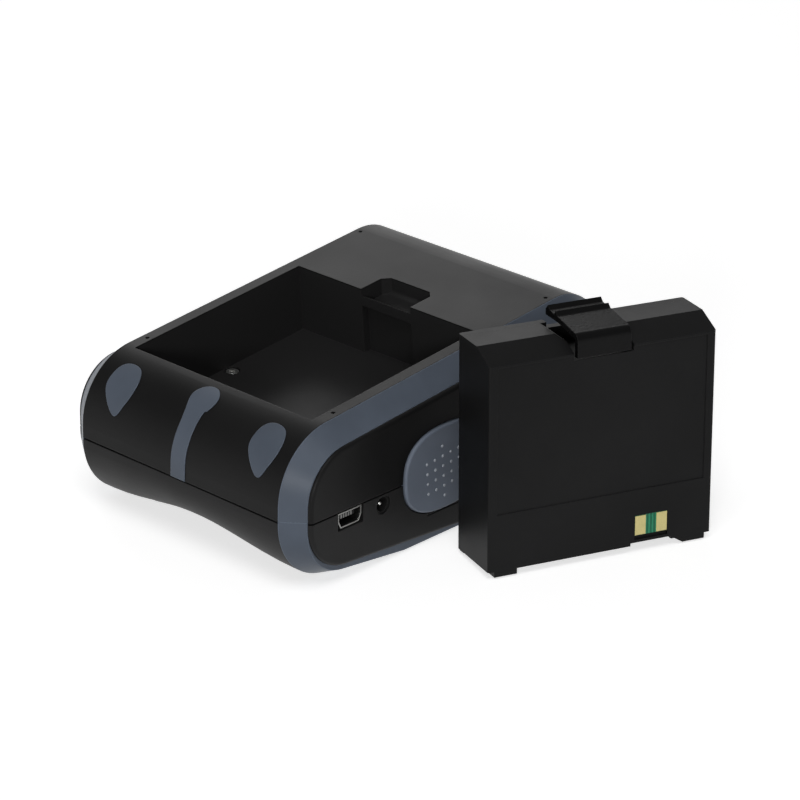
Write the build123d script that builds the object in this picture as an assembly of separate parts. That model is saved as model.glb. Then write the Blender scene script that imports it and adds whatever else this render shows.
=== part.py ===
from build123d import *
import math
import os

# Portable receipt printer for 58 mm paper, with its battery pack taken off.
# Millimetres and degrees. The printer lies on its real top, as on a bench when the pack is changed:
# the floor is z = 0, its flat base faces up, x = 0 is its middle plane, and its thin front end faces -Y.

# Width of the paper path, which sets how wide the printer is
paper_half_width = 28.9

# Outer form
front_y = -54.3
rear_y = 56.6
base_height = 41.6
base_tilt = 5.77
wall = 1.8
front_top_radius = 16.7
front_low_radius = 17.0
rear_top_radius = 16.0
rear_low_radius = 4.0
corner_radius = 3.0
panel_proud = 1.0
panel_round = 1.0

# Rubber bands along both sides
band_edge = paper_half_width + 3.6
band_run = 5.3
band_drop = 4.2
band_sink = 2.3
strip_thickness = 0.7
strip_front = -26.0

# Underside of the sides: the lower edge of the band's strip, and of the dark panel above it
side_low_y = -18.0
side_low_z = 0.1
side_low_rise = 0.115
side_floor = 1.15
panel_low_z = 1.0
panel_low_rise = 0.0705

# Where the shells and the lid part
part_z = 17.8
part_groove = 0.45
part_groove_depth = 0.9
shell_end_y = -11.3
side_end_y = 3.0
side_edge_x = band_edge + 3.8
seam_z = 7.0
seam_gap = 0.3

# Battery bay and finger notch, in the frame of the tilted base
bay_half_width = 29.3
bay_front = -40.5
bay_rear = 14.7
bay_depth = 17.24
bay_wall = 1.2
notch_half_width = 8.13
notch_rear = 23.56
notch_lip = 1.8
notch_depth = 4.3
notch_facet = 1.8
channel_depth = 2.0
channel_top = 4.5
dimple_inset = 1.8
dimple_front = -35.1
dimple_rear = 38.1
dimple_radius = 0.5
dimple_depth = 0.6

# Screws driven from the bay floor
screw_inset = 2.0
screw_rear = -12.0
screw_front = -36.0
screw_head_radius = 1.6
screw_head_height = 1.2
screw_shank_radius = 0.85
screw_length = 5.0
screw_pocket_depth = 1.4
screw_pocket_radius = 1.9
boss_radius = 3.1

# Inlays on the front end
inlay_depth = 1.0
inlay_proud = 0.15
inlay_elevation = 41.2
teardrop_inset = 8.7

# Release buttons
pad_half_length = 14.0
pad_half_height = 10.7
pad_y = -5.6
pad_z = 18.2
pad_gap = 0.3
pad_proud = 0.7
pad_round = 0.6
pad_flange = 1.0
pad_flange_thickness = 0.8
pad_travel = 1.3
pad_power = 2.5
spring_y = -14.0
spring_z = 17.0
spring_radius = 1.6
spring_wire = 0.22
spring_turns = 5

# Paper lid and its hinge
hinge_radius = 2.5
hinge_y = rear_y - hinge_radius
hinge_z = 7.0
hinge_pin_radius = 1.0
hinge_clearance = 0.05
hinge_gap = 0.3
ear_inner = band_edge - 1.3
ear_width = 2.2
rear_cut_z = 10.0
paper_slot = 1.0
lid_rib_x = 15.0

# Platen, print head and gears
platen_y = -4.5
platen_z = 7.9
platen_radius = 4.8
platen_half_length = paper_half_width - 0.4
shaft_radius = 1.5
bush_radius = 2.4
running_clearance = 0.05
cheek_inner = paper_half_width + 0.1
cheek_thickness = 1.2
gear_gap = 0.15
gear_thickness = 0.75
gear_module_fine = 0.3
gear_module = 0.375
platen_teeth = 28
small_teeth = 12
large_teeth = 34
pinion_teeth = 10
gear_pin_radius = 0.7
motor_shaft_radius = 0.6
motor_angle = 22.0
motor_radius = 5.0
motor_length = 12.5
head_thickness = 1.0
head_gap = 0.05
heatsink_thickness = 2.6
head_low_z = 4.2
head_height = 12.0
head_spring_x = 16.0
head_spring_radius = 1.6
head_spring_wire = 0.2
head_spring_turns = 3
head_spring_z = 3.5
frame_front = -17.2
frame_low_z = 3.2
frame_top_z = 20.3
frame_plate = 0.8

# Arms of the lid, which hold the platen shaft and carry the latch window
arm_inner = cheek_inner + cheek_thickness + 2 * gear_thickness + 4 * gear_gap
arm_thickness = 1.2
arm_front = -9.0
arm_rear = 8.0
arm_top = 11.8
window_low = 8.6
window_high = 10.6
window_front = 3.9
window_rear = 7.1
hook_thickness = 1.2
nose_shy = 0.2

# Boards and sockets
board_thickness = 1.2
board_half_width = band_edge - 0.9
board_front = -50.4
board_rear = -19.5
board_screw_x = 21.5
board_screw_rear = -22.0
board_screw_front = -36.0
board_screw_radius = 0.8
board_boss_radius = 1.7
board_screw_length = 2.2
usb_width = 7.7
usb_height = 3.9
usb_length = 8.4
usb_y = -37.1
usb_wall = 0.35
socket_sink = 0.4
jack_y = -26.4
jack_drop = 2.3
jack_radius = 2.3
jack_bore = 1.8
jack_pin_radius = 0.6
key_board_z = 8.0
switch_height = 1.4
switch_half_width = 3.0

# Scooped control panel
scoop_radius = 147.0
scoop_front = 3.2
scoop_rear = 0.4
overlay_half_width = 21.0
overlay_front = -47.0
overlay_rear = -20.0
overlay_round = 8.0
overlay_thickness = 0.4
lens_radius = 0.9
lens_pitch = 3.6
lens_inset = 5.0
key_x = 11.0
key_y = -37.0
key_half_length = 5.0
key_half_width = 3.2
key_proud = 0.7
key_travel = 0.5
key_gap = 0.25
key_flange_drop = 0.75
key_dome_height = 1.2
key_stem_radius = 1.2

# Tear bar
tear_bar_z = 0.8
tear_bar_thickness = 0.4
tear_bar_teeth = 48

# Paper bucket
bucket_radius = 14.4
bucket_wall = 0.8
bucket_half_width = paper_half_width + 0.3
bucket_cheek = 1.2
bucket_clearance = 0.1

# Battery pack, in its own frame: u across, v through, w up from the floor
pack_x = 61.7
pack_y = -15.4
pack_turn = 67.8
pack_lean = 2.6
pack_width = 58.0
pack_thickness = 16.3
pack_height = 53.2
pack_wall = 1.2
pack_edge = 0.6
cover_thickness = 2.0
tab_height = 1.35
tab_width = 5.8
tab_depth = 3.0
tab_inset = 1.6
tab_slant = 2.2
pack_chamfer_run = 6.85
pack_chamfer_drop = 2.95
cell_lift = 2.0
cell_clearance = 0.8
label_low = 14.0
label_gap = 0.5
label_margin = 2.2
label_sink = 0.25
contact_u = 42.2
contact_width = 8.7
contact_low = 2.4
contact_height = 5.1
contact_sink = 0.6
contact_pad_width = 2.8
latch_width = 13.7
latch_gap = 0.8
latch_facet = 1.6
latch_facet_depth = 1.2
latch_proud = 1.5
latch_climb = 1.1
latch_round = 2.0
latch_wall = 1.4
latch_ridge = 0.9
latch_foot = 1.2
latch_room = 1.6
latch_dip = 1.4

side_x = band_edge + band_run
half_width = side_x + panel_proud
side_inner = half_width - wall
tilt_tan = math.tan(math.radians(base_tilt))
tilt_cos = math.cos(math.radians(base_tilt))
base_frame = Plane(
    origin=(0, 0, base_height),
    x_dir=(1, 0, 0),
    z_dir=(0, -math.sin(math.radians(base_tilt)), tilt_cos),
).location
far = 200.0


def block(x0, x1, y0, y1, z0, z1):
    centre = Pos((x0 + x1) / 2, (y0 + y1) / 2, (z0 + z1) / 2)
    return centre * Box(x1 - x0, y1 - y0, z1 - z0)


def rod(x0, x1, y, z, radius):
    return Pos((x0 + x1) / 2, y, z) * Rot(0, 90, 0) * Cylinder(radius, x1 - x0)


def post(x, y, z0, z1, radius):
    return Pos(x, y, (z0 + z1) / 2) * Cylinder(radius, z1 - z0)


def mirrored(shape):
    return mirror(shape, about=Plane.YZ)


def base_line(y, inset):
    """Height of the flat base, moved inwards, above a place on the floor."""
    return base_height + tilt_tan * y - inset / tilt_cos


def bay_place(y, depth):
    """World y and z of a place given along the base and below it."""
    spot = base_frame * Pos(0, y, -depth)
    return spot.position.Y, spot.position.Z


def rounded_outline(corners):
    """Face in the YZ plane from corners (y, z, radius), where radius 0 keeps the corner."""
    ends = []
    for i, (y, z, radius) in enumerate(corners):
        here = Vector(0, y, z)
        before = Vector(0, *corners[i - 1][:2])
        after = Vector(0, *corners[(i + 1) % len(corners)][:2])
        if radius == 0:
            ends.append((here, None, here))
            continue
        back = (before - here).normalized()
        on = (after - here).normalized()
        half = math.radians(back.get_angle(on)) / 2
        middle = (back + on).normalized()
        nearest = here + middle * (radius / math.sin(half) - radius)
        reach = radius / math.tan(half)
        ends.append((here + back * reach, nearest, here + on * reach))
    edges = []
    for i, (start, nearest, end) in enumerate(ends):
        if nearest is not None:
            edges.append(ThreePointArc(start, nearest, end))
        edges.append(Line(end, ends[(i + 1) % len(ends)][0]))
    return make_face(edges)


def outer_outline(inset):
    y0 = front_y + inset
    y1 = rear_y - inset
    return rounded_outline([
        (y0, inset, front_low_radius - inset),
        (side_low_y, inset, 0),
        (y1, inset, rear_low_radius - inset),
        (y1, base_line(y1, inset), rear_top_radius - inset),
        (y0, base_line(y0, inset), front_top_radius - inset),
    ])


def side_outline(inset):
    """Outline where the sloping border ends, with its low edge rising towards the front."""
    drop = band_drop + inset
    y0 = front_y + drop
    y1 = rear_y - drop
    low_end = side_low_z + inset + (side_floor if inset > 0 else 0)
    low_front = low_end + side_low_rise * (side_low_y - y0)
    low_round = max(rear_low_radius - drop, panel_round)
    rear_round = max(rear_top_radius - drop, panel_round)
    return rounded_outline([
        (y0, low_front, front_low_radius - drop),
        (side_low_y, low_end, 0),
        (y1, low_end, low_round),
        (y1, base_line(y1, drop), rear_round),
        (y0, base_line(y0, drop), front_top_radius - drop),
    ])


def panel_outline(inset):
    """Outline of the dark side panel, which stays above the strip along the underside."""
    drop = band_drop + inset
    y0 = front_y + drop
    y1 = rear_y - drop
    low_rear = panel_low_z + inset
    low_front = low_rear - panel_low_rise * y0
    low_round = max(rear_low_radius - drop, panel_round)
    rear_round = max(rear_top_radius - drop, panel_round)
    return rounded_outline([
        (y0, low_front, front_low_radius - drop),
        (0, low_rear, 0),
        (y1, low_rear, low_round),
        (y1, base_line(y1, drop), rear_round),
        (y0, base_line(y0, drop), front_top_radius - drop),
    ])


def slab(face, x0, x1):
    return extrude(Pos(x0, 0, 0) * face, amount=x1 - x0, dir=(1, 0, 0))


def side_slope(inset):
    """The sloping border between the top faces and the right side panel."""
    edge = band_edge - inset
    side = side_x - inset * (side_x - side_inner) / wall
    sections = [Pos(edge, 0, 0) * outer_outline(inset), Pos(side, 0, 0) * side_outline(inset)]
    return loft(sections, ruled=True)


def plan_mask(inset):
    """Tall block with rounded rear corners."""
    reach = half_width - inset
    mask = block(-reach, reach, front_y - wall, rear_y - inset, -far, far)
    rear_edges = mask.edges().filter_by(Axis.Z).group_by(Axis.Y)[-1]
    return fillet(rear_edges, corner_radius - inset)


def body(inset):
    core = slab(outer_outline(inset), inset - band_edge, band_edge - inset)
    slope = side_slope(inset)
    return (core + slope + mirrored(slope)) & plan_mask(inset)


def side_panel():
    """The raised panel of the right side, with its softly rounded rim."""
    plate = slab(panel_outline(0), side_x - panel_proud, half_width)
    rim = plate.faces().sort_by(Axis.X)[-1].edges()
    return fillet(rim, panel_round)


panel = side_panel()
outer_body = body(0) + ((panel + mirrored(panel)) & plan_mask(0))
cavity = body(wall)


def scoop(offset):
    """Round cutter of the dished control panel, grown by an offset."""
    run = shell_end_y - front_y
    lean = math.degrees(math.atan((scoop_front - scoop_rear) / run))
    middle_y = (front_y + shell_end_y) / 2
    middle_z = (scoop_front + scoop_rear) / 2 - scoop_radius / math.cos(math.radians(lean))
    return Pos(0, middle_y, middle_z) * Rot(90 - lean, 0, 0) * Cylinder(scoop_radius + offset, far)


def scoop_z(x, y):
    """Height of the dished surface."""
    fall = (scoop_front - scoop_rear) / (shell_end_y - front_y)
    middle = scoop_front - fall * (y - front_y)
    return middle - (scoop_radius - math.sqrt(scoop_radius**2 - x**2))


def band_ring():
    """The whole right band before it is parted."""
    slope = side_slope(0)
    inside = Pos(-band_sink, 0, 0) * slope
    centre = slab(panel_outline(0), band_edge - band_run, half_width + 1)
    under = block(-far, side_x - strip_thickness, strip_front, far, -far, band_drop)
    return (slope - inside - centre - under) & plan_mask(0)


def pad_outline(grow):
    """Oval of a release button, squarer than an ellipse, as a closed curve in the YZ plane."""
    steps = 24
    points = []
    for i in range(steps):
        angle = 2 * math.pi * i / steps
        c = math.cos(angle)
        s = math.sin(angle)
        y = math.copysign(abs(c) ** (2 / pad_power), c) * pad_half_length
        z = math.copysign(abs(s) ** (2 / pad_power), s) * pad_half_height
        reach = math.hypot(y, z)
        points.append((0, pad_y + y * (1 + grow / reach), pad_z + z * (1 + grow / reach)))
    return make_face([Spline(points, periodic=True)])


def upper_region():
    """Space of the bottom shell: above the parting plane, and down to the lid behind it."""
    front = block(-far, far, -far, shell_end_y, part_z, far)
    rear = block(-far, far, shell_end_y, far, seam_z + seam_gap / 2, far)
    hinge_space = block(-far, far, hinge_y - hinge_radius - hinge_gap, far, -far, rear_cut_z)
    return front + rear - hinge_space


def side_cheeks(gap):
    """Space of the top shell's two side tongues, which reach back beside the lid."""
    cheek = block(side_edge_x - gap, far, shell_end_y - wall, side_end_y + gap, -far, seam_z - seam_gap / 2)
    return cheek + mirrored(cheek)


def lower_region():
    return block(-far, far, -far, shell_end_y, -far, part_z) + side_cheeks(0)


def lid_region():
    whole = block(-far, far, shell_end_y + seam_gap, far, -far, seam_z - seam_gap / 2)
    return whole - side_cheeks(seam_gap)


def socket_z():
    """Underside of the main board, which carries both sockets."""
    return part_z - 0.6


def usb_opening(gap):
    top = socket_z() + gap
    return block(side_x - wall - band_run, far, usb_y - usb_width / 2 - gap, usb_y + usb_width / 2 + gap,
                 socket_z() - usb_height - gap, top)


def screw_places():
    screw_x = bay_half_width - screw_inset
    return [(x, y) for x in (-screw_x, screw_x) for y in (screw_rear, screw_front)]


def bay():
    """The bay's walls and its hollow, both in world place."""
    outside = block(-bay_half_width - bay_wall, bay_half_width + bay_wall, bay_front - bay_wall,
                    bay_rear + bay_wall, -bay_depth - bay_wall, 1)
    hollow = block(-bay_half_width, bay_half_width, bay_front, bay_rear, -bay_depth, far)
    outside += block(-notch_half_width - bay_wall, notch_half_width + bay_wall, bay_rear,
                     bay_rear + channel_depth + bay_wall, -bay_depth - bay_wall, -notch_lip)
    hollow += block(-notch_half_width, notch_half_width, bay_rear - bay_wall, bay_rear + channel_depth,
                    -bay_depth, -channel_top)
    return base_frame * outside, base_frame * hollow


def notch():
    """Finger notch behind the bay: its walls and its scooped hollow."""
    side = [
        Line((0, bay_rear - bay_wall, far), (0, bay_rear - bay_wall, -notch_lip)),
        Line((0, bay_rear - bay_wall, -notch_lip), (0, bay_rear, -notch_lip)),
        Line((0, bay_rear, -notch_lip), (0, bay_rear + 2 * channel_depth, -notch_depth)),
        Line((0, bay_rear + 2 * channel_depth, -notch_depth), (0, notch_rear - bay_wall, -notch_depth)),
        ThreePointArc(
            (0, notch_rear - bay_wall, -notch_depth),
            (0, notch_rear - 0.3 * bay_wall, -notch_depth + 0.3 * bay_wall),
            (0, notch_rear, -notch_depth + bay_wall),
        ),
        Line((0, notch_rear, -notch_depth + bay_wall), (0, notch_rear, far)),
        Line((0, notch_rear, far), (0, bay_rear - bay_wall, far)),
    ]
    hollow = extrude(make_face(side), amount=notch_half_width, both=True, dir=(1, 0, 0))
    for side_x_sign in (-1, 1):
        corner = Pos(side_x_sign * notch_half_width, notch_rear, 0) * Rot(0, 0, 45)
        hollow -= corner * Box(notch_facet * math.sqrt(2), notch_facet * math.sqrt(2), 2 * far)
    outside = block(-notch_half_width - bay_wall, notch_half_width + bay_wall, bay_rear,
                    notch_rear + bay_wall, -notch_depth - bay_wall, 1)
    return base_frame * outside, base_frame * hollow


def inlay_prism(face):
    """Carry a flat outline from the front end's inlay plane through its skin."""
    angle = math.radians(inlay_elevation)
    centre_y = front_y + front_top_radius
    plane = Plane(
        origin=(0, centre_y, base_line(centre_y, front_top_radius)),
        x_dir=(1, 0, 0),
        z_dir=(0, -math.cos(angle), math.sin(angle)),
    )
    return extrude(plane.location * Pos(0, 0, front_top_radius / 2) * face, amount=front_top_radius,
                   dir=plane.z_dir)


def inlay(face):
    skin = slab(outer_outline(-inlay_proud), -band_edge, band_edge)
    skin -= slab(outer_outline(inlay_depth), -band_edge, band_edge)
    return skin & inlay_prism(face) & block(-far, far, -far, 0, part_z, far)


def teardrop_face(x):
    points = [(-0.4, 6.5), (-3.5, 5.0), (-4.3, 2.2), (-4.2, -0.7), (-2.9, -3.0), (-0.9, -5.3),
              (1.5, -6.6), (3.1, -4.4), (4.3, -1.2), (4.4, 2.3), (3.2, 5.0)]
    return make_face([Spline([(x + px, py) for px, py in points], periodic=True)])


def stroke_face():
    """Brush-stroke outline, wide at the top and straight-sided down to the parting line."""
    right = [(0.3, 8.9), (3.0, 7.7), (4.1, 5.6), (3.5, 2.8), (2.6, -3)]
    left = [(-2.1, -3), (-3.0, 2.8), (-3.6, 5.6), (-2.6, 7.7), (0.3, 8.9)]
    foot_right = (2.2, -15)
    foot_left = (-2.4, -15)
    down = (foot_right[0] - right[-1][0], foot_right[1] - right[-1][1])
    up = (left[0][0] - foot_left[0], left[0][1] - foot_left[1])
    return make_face([
        Spline(right, tangents=[(1, 0), down]),
        Line(right[-1], foot_right),
        Line(foot_right, foot_left),
        Line(foot_left, left[0]),
        Spline(left, tangents=[up, (1, 0)]),
    ])


def make_inlays():
    return {
        "teardrop_inlay_left": inlay(teardrop_face(teardrop_inset - band_edge)),
        "teardrop_inlay_right": inlay(teardrop_face(band_edge - teardrop_inset)),
        "centre_inlay": inlay(stroke_face()),
    }


def make_bands():
    ring = band_ring()
    stub = block(-far, far, hinge_y - 2 * hinge_radius, far, -far, rear_cut_z)
    upper = (ring - stub) & upper_region()
    lower = ring & lower_region()
    return {
        "band_upper_right": upper,
        "band_upper_left": mirrored(upper),
        "band_lower_right": lower,
        "band_lower_left": mirrored(lower),
    }


def part_line_groove():
    """Thin outside groove where the two shells meet."""
    slit = block(-far, far, -far, shell_end_y, part_z - part_groove, part_z)
    return slit & (outer_body - body(part_groove_depth))


def bay_under(y):
    """Height just inside the bay floor above a world y."""
    return base_line(y, bay_depth + bay_wall / 2)


def boss_top(y):
    """Underside of the bay floor's screw boss at a place along the base."""
    return bay_place(y, bay_depth + screw_pocket_depth + bay_wall)[1]


def make_bottom_shell(bands, inlays):
    shell = (outer_body - cavity) & upper_region()
    walls, hollow = bay()
    notch_walls, notch_hollow = notch()
    shell += (walls + notch_walls) & outer_body
    for x, y in screw_places():
        world_y, floor_z = bay_place(y, bay_depth)
        shell += post(x, world_y, boss_top(y), floor_z, boss_radius)
    for x, y in board_screw_places():
        shell += post(x, y, socket_z() + board_thickness, bay_under(y), board_boss_radius)
    shell += hinge_ears()
    shell -= hollow + notch_hollow
    for x, y in screw_places():
        world_y, floor_z = bay_place(y, bay_depth)
        shell -= post(x, world_y, floor_z - screw_pocket_depth, floor_z + bay_wall, screw_pocket_radius)
        shell -= post(x, world_y, boss_top(y) - 1, floor_z, screw_shank_radius + running_clearance)
    for x, y in board_screw_places():
        shell -= post(x, y, socket_z(), socket_z() + board_screw_length, board_screw_radius)
    for x in (dimple_inset - band_edge, band_edge - dimple_inset):
        for y in (dimple_front, dimple_rear):
            shell -= base_frame * post(x, y, -dimple_depth, 1, dimple_radius)
    for place in tab_slots():
        shell -= place
    shell -= contact_opening(pad_gap)
    hole = slab(pad_outline(pad_gap), side_inner - wall, half_width + wall)
    shell -= hole + mirrored(hole)
    for piece in list(bands.values()) + list(inlays.values()):
        shell -= piece
    return shell


def tab_slots():
    """Slots in the bay's front wall that take the pack's two tabs."""
    slots = []
    for side in (-1, 1):
        middle = side * (pack_width / 2 - tab_inset - tab_width / 2)
        slots.append(base_frame * block(middle - tab_width / 2 - pad_gap, middle + tab_width / 2 + pad_gap,
                                        bay_front - 2 * bay_wall, bay_front + 1,
                                        -bay_depth, -bay_depth + tab_depth + pad_gap))
    return slots


def contact_place():
    """Middle of the bay's spring contacts, which meet the pack's pads."""
    x = pack_width / 2 - contact_u
    y = bay_front + pad_gap + contact_low + contact_height / 2
    return x, bay_place(y, bay_depth)


def contact_opening(gap):
    x, (y, z) = contact_place()
    half = contact_width / 2 + gap
    deep = contact_height / 2 + gap
    return block(x - half, x + half, y - deep, y + deep, z - 3 * bay_wall, z + 0.3 * bay_wall)


def hinge_ears():
    """Two ears under the rear wall that hold the lid's pin."""
    rear = rear_y - wall / 2
    ears = None
    for x0 in (ear_inner, -ear_inner - ear_width):
        x1 = x0 + ear_width
        ear = rod(x0, x1, hinge_y, hinge_z, hinge_radius - hinge_gap)
        ear += block(x0, x1, hinge_y - hinge_radius + hinge_gap, hinge_y + hinge_pin_radius, hinge_z, rear_cut_z + wall)
        ear += block(x0, x1, hinge_y, rear, rear_cut_z, rear_cut_z + wall)
        ear -= rod(x0 - 1, x1 + 1, hinge_y, hinge_z, hinge_pin_radius)
        ear -= block(x0 - 1, x1 + 1, hinge_y + hinge_radius - hinge_gap, far, -far, rear_cut_z)
        ears = ear if ears is None else ears + ear
    return ears


def make_top_shell(bands):
    shell = (outer_body & lower_region()) - scoop(0)
    shell -= cavity - scoop(wall)
    shell -= part_line_groove()
    for x, y in screw_places():
        world_y = bay_place(y, bay_depth)[0]
        if world_y > shell_end_y:
            continue
        foot = scoop_z(x, world_y) if abs(x) < band_edge else 0
        boss = post(x, world_y, max(foot, 0) + wall / 2, boss_top(y), screw_pocket_radius + 0.4)
        boss -= post(x, world_y, boss_top(y) - screw_length, boss_top(y) + 1, screw_shank_radius)
        shell += boss
    for x in (-key_x, key_x):
        shell -= key_outline_prism(x, key_gap)
    for x in lens_places():
        shell -= post(x, lens_y(), -1, far, lens_radius)
    shell -= usb_opening(pad_gap)
    shell -= rod(side_inner - 2 * wall, half_width + wall, jack_y, jack_z(), jack_radius + running_clearance)
    shell -= overlay_blank()
    for x in (-1, 1):
        for y in (overlay_front + wall, overlay_rear - wall):
            post_x = overlay_half_width - wall
            shell += post(x * post_x, y, scoop_z(post_x, y) + wall / 2, key_board_z, wall)
    hole = slab(pad_outline(pad_gap), side_inner - wall, half_width + wall)
    shell -= hole + mirrored(hole)
    for piece in list(bands.values()) + [make_tear_bar()]:
        shell -= piece
    return shell


def lens_places():
    return [i * lens_pitch for i in (-1, 0, 1)]


def lens_y():
    return overlay_rear - lens_inset


def jack_z():
    return socket_z() - jack_drop


def overlay_blank():
    """Thin decorative overlay in the dished panel, without its openings."""
    middle = (overlay_front + overlay_rear) / 2
    outline = RectangleRounded(2 * overlay_half_width, overlay_rear - overlay_front, overlay_round)
    prism = extrude(Pos(0, middle, -1) * outline, amount=2 * wall + scoop_front)
    skin = block(-far, far, -far, far, 0, overlay_thickness) + scoop(overlay_thickness)
    return prism & (skin - scoop(0)) & block(-far, far, -far, far, 0, far)


def key_outline_prism(x, grow):
    outline = Ellipse(key_half_length + grow, key_half_width + grow)
    return extrude(Pos(x, key_y, -1) * outline, amount=scoop_front + 3 * wall)


def make_panel():
    overlay = overlay_blank()
    for x in (-key_x, key_x):
        overlay -= key_outline_prism(x, key_gap)
    lenses = []
    for x in lens_places():
        overlay -= post(x, lens_y(), -1, far, lens_radius)
        top = scoop_z(x, lens_y())
        lenses.append(post(x, lens_y(), top, key_board_z - running_clearance, lens_radius - running_clearance))
    keys = {}
    for name, x in (("power_button", -key_x), ("feed_button", key_x)):
        face_z = scoop_z(x, key_y) - key_proud
        cap = extrude(Pos(x, key_y, face_z) * Ellipse(key_half_length, key_half_width), amount=2 * wall + key_proud)
        cap = fillet(cap.faces().sort_by(Axis.Z)[0].edges(), 0.4)
        flange_z = scoop_z(x, key_y) + wall + key_flange_drop
        cap += extrude(Pos(x, key_y, flange_z) * Ellipse(key_half_length + 1, key_half_width + 1), amount=0.8)
        cap += post(x, key_y, flange_z, dome_z(), key_stem_radius)
        keys[name] = cap
        dome = Cone(key_stem_radius, 2 * key_stem_radius, key_dome_height)
        keys[name.replace("button", "key_dome")] = Pos(x, key_y, dome_z() + key_dome_height / 2) * dome
    return overlay, keys, lenses


def dome_z():
    """Where a key's stem meets its rubber dome."""
    return key_board_z - switch_height - key_dome_height


def make_key_board():
    board = block(-overlay_half_width, overlay_half_width, overlay_front, overlay_rear, key_board_z,
                  key_board_z + board_thickness)
    for x in (-key_x, key_x):
        board += block(x - switch_half_width, x + switch_half_width, key_y - switch_half_width,
                       key_y + switch_half_width, key_board_z - switch_height, key_board_z)
    return board


def make_lid():
    lid = (outer_body - cavity) & lid_region()
    lid -= block(-paper_half_width, paper_half_width, -far, shell_end_y + seam_gap + paper_slot, -far, far)
    barrel = rod(-half_width, half_width, hinge_y, hinge_z, hinge_radius) & plan_mask(0)
    web = block(-half_width, half_width, hinge_y, rear_y, wall, hinge_z) & plan_mask(0)
    web &= outer_body
    lid += barrel + web
    for side in (-1, 1):
        low = min(side * (ear_inner - hinge_gap), side * (ear_inner + ear_width + hinge_gap))
        high = max(side * (ear_inner - hinge_gap), side * (ear_inner + ear_width + hinge_gap))
        lid -= rod(low, high, hinge_y, hinge_z, hinge_radius + hinge_gap)
    lid -= rod(-half_width + wall, half_width - wall, hinge_y, hinge_z, hinge_pin_radius + hinge_clearance)
    arm = lid_arm()
    lid += arm + mirrored(arm)
    for x in (-lid_rib_x, lid_rib_x):
        lid += block(x - 0.6, x + 0.6, platen_y + platen_radius + 2, hinge_y - 2 * hinge_radius, wall, wall + 0.8)
    return lid


def lid_arm():
    """Upright arm inside the lid that holds one end of the platen shaft and takes the latch."""
    arm = block(arm_inner, arm_inner + arm_thickness, arm_front, arm_rear, wall / 2, arm_top)
    arm -= rod(arm_inner - 1, arm_inner + arm_thickness + 1, platen_y, platen_z, shaft_radius + running_clearance)
    arm -= block(arm_inner - 1, arm_inner + arm_thickness + 1, window_front, window_rear, window_low, window_high)
    return arm


def make_release_button():
    """Right release button with its flange, spring pocket and hook."""
    inner = side_inner
    pad = slab(pad_outline(0), inner, half_width + pad_proud)
    pad = fillet(pad.faces().sort_by(Axis.X)[-1].edges(), pad_round)
    flange = slab(pad_outline(pad_flange), inner - pad_flange_thickness, inner - running_clearance)
    flange &= slab(side_outline(wall), 0, far)
    flange &= block(-far, far, -far, far, seam_z + seam_gap, far)
    pad += flange
    pad -= rod(0, half_width - wall, spring_y, spring_z, spring_radius + 0.4)
    hook_x = arm_inner - 1.4 * hook_thickness
    hook_low = arm_top + pad_gap
    hook = block(hook_x, inner, window_front + pad_gap, window_rear - pad_gap, hook_low, hook_low + hook_thickness)
    hook += block(hook_x, hook_x + hook_thickness, window_front + pad_gap, window_rear - pad_gap,
                  window_low + pad_gap, hook_low + hook_thickness)
    hook += block(hook_x, arm_inner - nose_shy, window_front + pad_gap, window_rear - pad_gap,
                  window_low + pad_gap, window_high - pad_gap)
    return pad + hook


def coil(length, radius, wire, turns):
    """Coil spring along +Z from its own origin, ends at the stated length."""
    path = Helix(pitch=(length - 2 * wire) / turns, height=length - 2 * wire, radius=radius)
    section = Plane(origin=path @ 0, z_dir=path % 0) * Circle(wire)
    return Pos(0, 0, wire) * sweep(section, path=path)


def coil_gap(length, radius, wire, turns):
    """Least free gap between neighbouring turns, measured on points along the coil's middle line."""
    path = Helix(pitch=(length - 2 * wire) / turns, height=length - 2 * wire, radius=radius)
    per_turn = 24
    spots = [path @ (i / (turns * per_turn)) for i in range(turns * per_turn + 1)]
    nearest = min(
        (spots[i] - spots[j]).length
        for i in range(len(spots))
        for j in range(i + per_turn // 2, len(spots))
    )
    return nearest - 2 * wire


def make_release_spring():
    start = cheek_inner + cheek_thickness
    length = half_width - wall - start
    radius = spring_radius - spring_wire
    print("release spring, least gap", round(coil_gap(length, radius, spring_wire, spring_turns), 3))
    return Pos(start, spring_y, spring_z) * Rot(0, 90, 0) * coil(length, radius, spring_wire, spring_turns)


def gear(teeth, module, thickness, phase):
    """Spur gear along +X from x = 0, with a tooth at the phase angle from +Y towards +Z."""
    pitch = teeth * module / 2
    root = pitch - 1.15 * module
    tip = pitch + 0.85 * module
    step = 2 * math.pi / teeth
    points = []
    for i in range(teeth):
        middle = math.radians(phase) + i * step
        for share, radius in ((-0.34, root), (-0.12, tip), (0.12, tip), (0.34, root)):
            angle = middle + share * step
            points.append((0, radius * math.cos(angle), radius * math.sin(angle)))
    return extrude(make_face([Polyline(*points, close=True)]), amount=thickness, dir=(1, 0, 0))


def reduction_centre():
    reach = gear_module * (platen_teeth + small_teeth) / 2
    return platen_y, platen_z + reach


def motor_centre():
    reach = gear_module_fine * (large_teeth + pinion_teeth) / 2
    y, z = reduction_centre()
    angle = math.radians(motor_angle)
    return y + reach * math.cos(angle), z + reach * math.sin(angle)


def gear_planes():
    """X of the fine pair and of the pair that drives the platen."""
    first = cheek_inner + cheek_thickness + gear_gap
    return first, first + gear_thickness + gear_gap


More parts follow.
